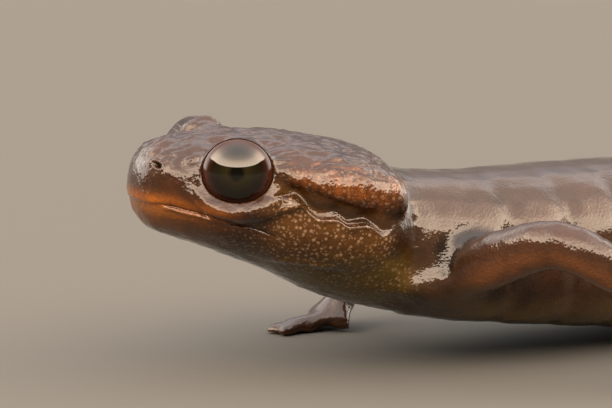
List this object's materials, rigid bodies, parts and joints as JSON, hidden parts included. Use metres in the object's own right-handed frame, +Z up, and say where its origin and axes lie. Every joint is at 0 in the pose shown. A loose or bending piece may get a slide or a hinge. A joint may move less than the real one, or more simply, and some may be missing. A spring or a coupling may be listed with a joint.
{
  "type": "northwestern salamander",
  "caption": "Life-size still model of a northwestern salamander (Ambystoma gracile), walking with its head held high, one arm swept back and its tail curved to the side.",
  "frame": {"origin": "centre of the box round the animal, at the floor that it stands on", "axes": "+X from the snout towards the tail, -Y to the animal's left side, +Z up"},
  "size_m": [0.1376, 0.035, 0.0162],
  "materials": {
    "head_skin": "wet, glossy skin",
    "jaw_skin": "wet, glossy skin",
    "body_skin": "wet, glossy skin",
    "limb_skin": "wet, glossy skin",
    "eye": "polished"
  },
  "bodies": {
    "root": {"head": "head_skin", "lower_jaw": "jaw_skin", "eye_left": "eye", "eye_right": "eye", "neck": "body_skin", "torso": "body_skin", "pelvis": "body_skin", "tail_base": "body_skin", "tail_middle": "body_skin", "tail_tip": "body_skin", "upper_arm_left": "limb_skin", "forearm_left": "limb_skin", "hand_left": "limb_skin", "upper_arm_right": "limb_skin", "forearm_right": "limb_skin", "hand_right": "limb_skin", "thigh_left": "limb_skin", "shank_left": "limb_skin", "foot_left": "limb_skin", "thigh_right": "limb_skin", "shank_right": "limb_skin", "foot_right": "limb_skin"}
  },
  "joints": []
}
